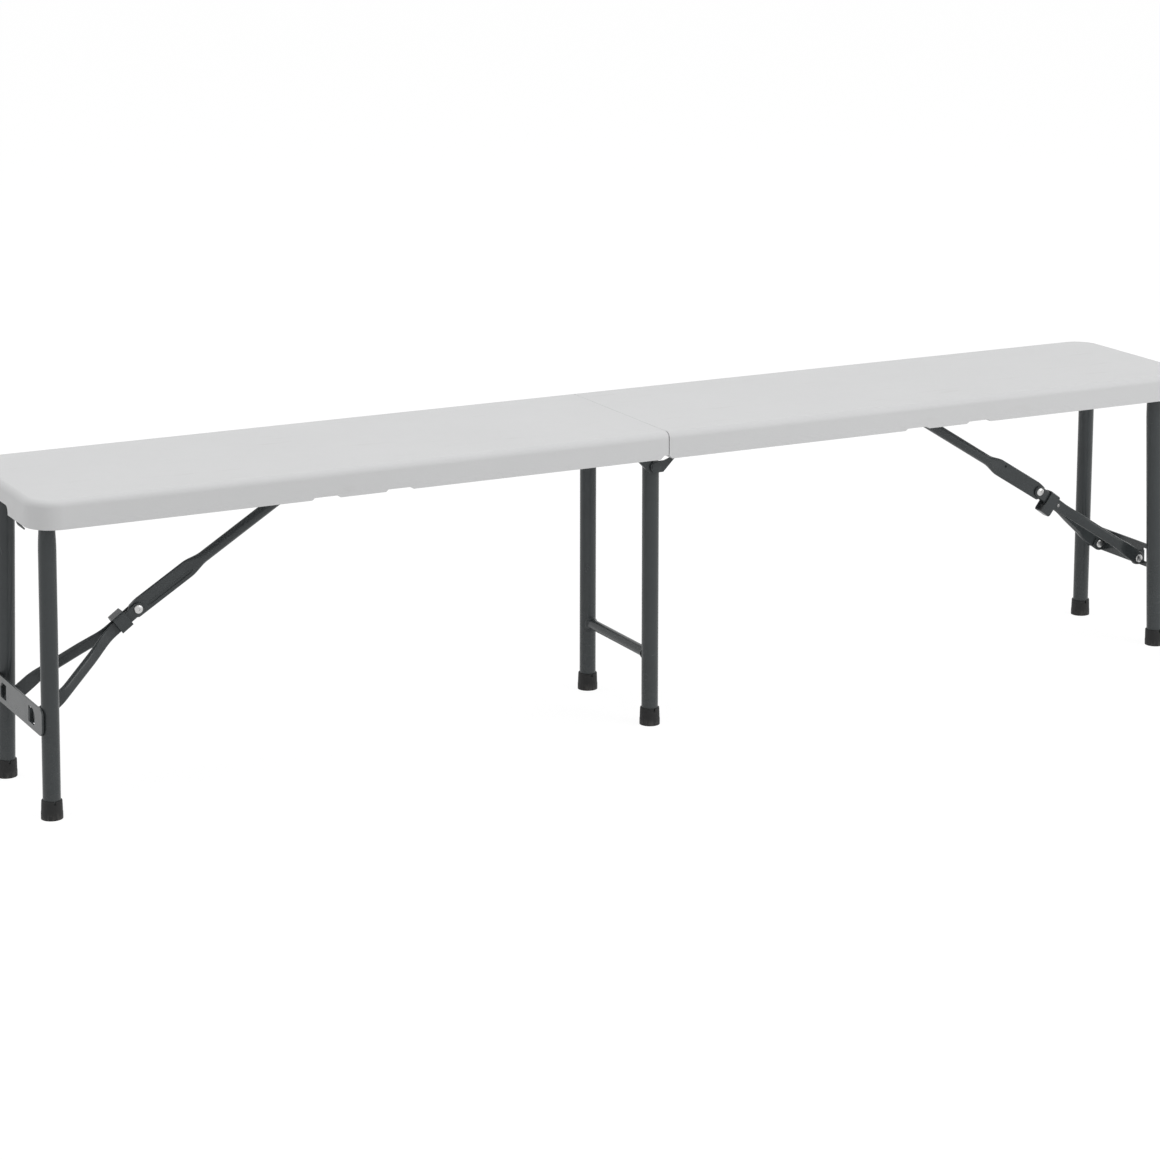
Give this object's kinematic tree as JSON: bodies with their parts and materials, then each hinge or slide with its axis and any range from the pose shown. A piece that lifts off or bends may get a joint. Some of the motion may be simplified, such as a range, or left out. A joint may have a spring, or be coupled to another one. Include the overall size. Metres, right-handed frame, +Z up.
{
  "type": "folding bench",
  "caption": "Long narrow bench with a moulded plastic seat that folds in half, and folding tubular steel legs with hinged braces",
  "frame": {"origin": "on the floor, below the middle of the bench's bounding box", "axes": "X along the seat, the half nearer to the camera on the left at -X; Y across the seat, the front long side at -Y; Z up"},
  "size_m": [1.8, 0.294, 0.43],
  "materials": {
    "seat_plastic": "fine-grained moulded plastic, light grey",
    "frame_steel": "satin dark grey powder coat",
    "foot_plastic": "matt near-black moulded plastic",
    "rivet_steel": "bare zinc-plated steel"
  },
  "bodies": {
    "seat_left": {"seat_left": "seat_plastic", "brace_bracket_left": "frame_steel", "brace_rod_left": "frame_steel", "leg_bearing_left_front": "frame_steel", "hinge_plate_left_front": "frame_steel", "leg_bearing_left_back": "frame_steel", "hinge_plate_left_back": "frame_steel"},
    "seat_right": {"seat_right": "seat_plastic", "brace_bracket_right": "frame_steel", "brace_rod_right": "frame_steel", "leg_bearing_right_front": "frame_steel", "hinge_plate_right_front": "frame_steel", "leg_bearing_right_back": "frame_steel", "hinge_plate_right_back": "frame_steel"},
    "centre_leg": {"centre_leg_front": "frame_steel", "centre_foot_front": "foot_plastic", "hinge_pin_front": "rivet_steel", "centre_leg_back": "frame_steel", "centre_foot_back": "foot_plastic", "hinge_pin_back": "rivet_steel", "centre_crossbar": "frame_steel"},
    "end_leg_left": {"end_leg_left_front": "frame_steel", "end_foot_left_front": "foot_plastic", "lug_rivet_left_front": "rivet_steel", "end_leg_left_back": "frame_steel", "end_foot_left_back": "foot_plastic", "lug_rivet_left_back": "rivet_steel", "cross_plate_left": "frame_steel", "leg_rod_left": "frame_steel"},
    "lower_brace_left": {"brace_arm_left_front": "frame_steel", "knee_rivet_left_front": "rivet_steel", "brace_arm_left_back": "frame_steel", "knee_rivet_left_back": "rivet_steel"},
    "upper_brace_left": {"upper_brace_left": "frame_steel"},
    "lock_clip_left": {"lock_clip_left": "frame_steel"},
    "end_leg_right": {"end_leg_right_front": "frame_steel", "end_foot_right_front": "foot_plastic", "lug_rivet_right_front": "rivet_steel", "end_leg_right_back": "frame_steel", "end_foot_right_back": "foot_plastic", "lug_rivet_right_back": "rivet_steel", "cross_plate_right": "frame_steel", "leg_rod_right": "frame_steel"},
    "lower_brace_right": {"brace_arm_right_front": "frame_steel", "knee_rivet_right_front": "rivet_steel", "brace_arm_right_back": "frame_steel", "knee_rivet_right_back": "rivet_steel"},
    "upper_brace_right": {"upper_brace_right": "frame_steel"},
    "lock_clip_right": {"lock_clip_right": "frame_steel"}
  },
  "joints": [
    {"name": "seat_fold", "type": "hinge", "parent": "seat_left", "child": "seat_right", "pos_m": [0, 0, 0.375], "axis": [0, 1, 0], "range_deg": [0, 180]},
    {"name": "centre_leg_fold", "type": "hinge", "parent": "seat_left", "child": "centre_leg", "pos_m": [0, 0, 0.375], "axis": [0, 1, 0], "range_deg": [0, 90]},
    {"name": "end_leg_left_fold", "type": "hinge", "parent": "seat_left", "child": "end_leg_left", "pos_m": [-0.862, 0, 0.412], "axis": [0, -1, 0], "range_deg": [0, 90]},
    {"name": "lower_brace_left_turn", "type": "hinge", "parent": "end_leg_left", "child": "lower_brace_left", "pos_m": [-0.87207, 0, 0.12598], "axis": [0, -1, 0], "range_deg": [0, 55.6]},
    {"name": "upper_brace_left_turn", "type": "hinge", "parent": "seat_left", "child": "upper_brace_left", "pos_m": [-0.446, 0, 0.405], "axis": [0, 1, 0], "range_deg": [0, 30.4]},
    {"name": "lock_clip_left_slide", "type": "slide", "parent": "upper_brace_left", "child": "lock_clip_left", "axis": [0.7291, 0, 0.6844], "range_m": [0, 0.05]},
    {"name": "end_leg_right_fold", "type": "hinge", "parent": "seat_right", "child": "end_leg_right", "pos_m": [0.862, 0, 0.412], "axis": [0, 1, 0], "range_deg": [0, 90]},
    {"name": "lower_brace_right_turn", "type": "hinge", "parent": "end_leg_right", "child": "lower_brace_right", "pos_m": [0.87207, 0, 0.12598], "axis": [0, 1, 0], "range_deg": [0, 55.6]},
    {"name": "upper_brace_right_turn", "type": "hinge", "parent": "seat_right", "child": "upper_brace_right", "pos_m": [0.446, 0, 0.405], "axis": [0, -1, 0], "range_deg": [0, 30.4]},
    {"name": "lock_clip_right_slide", "type": "slide", "parent": "upper_brace_right", "child": "lock_clip_right", "axis": [-0.7291, 0, 0.6844], "range_m": [0, 0.05]}
  ],
  "couplings": [
    {"joint": "centre_leg_fold", "follows": "seat_fold", "ratio": 0.5},
    {"joint": "end_leg_left_fold", "follows": "seat_fold", "ratio": 0.5},
    {"joint": "lower_brace_left_turn", "follows": "seat_fold", "ratio": 0.30869},
    {"joint": "upper_brace_left_turn", "follows": "seat_fold", "ratio": 0.16859},
    {"joint": "end_leg_right_fold", "follows": "seat_fold", "ratio": 0.5},
    {"joint": "lower_brace_right_turn", "follows": "seat_fold", "ratio": 0.30869},
    {"joint": "upper_brace_right_turn", "follows": "seat_fold", "ratio": 0.16859}
  ]
}
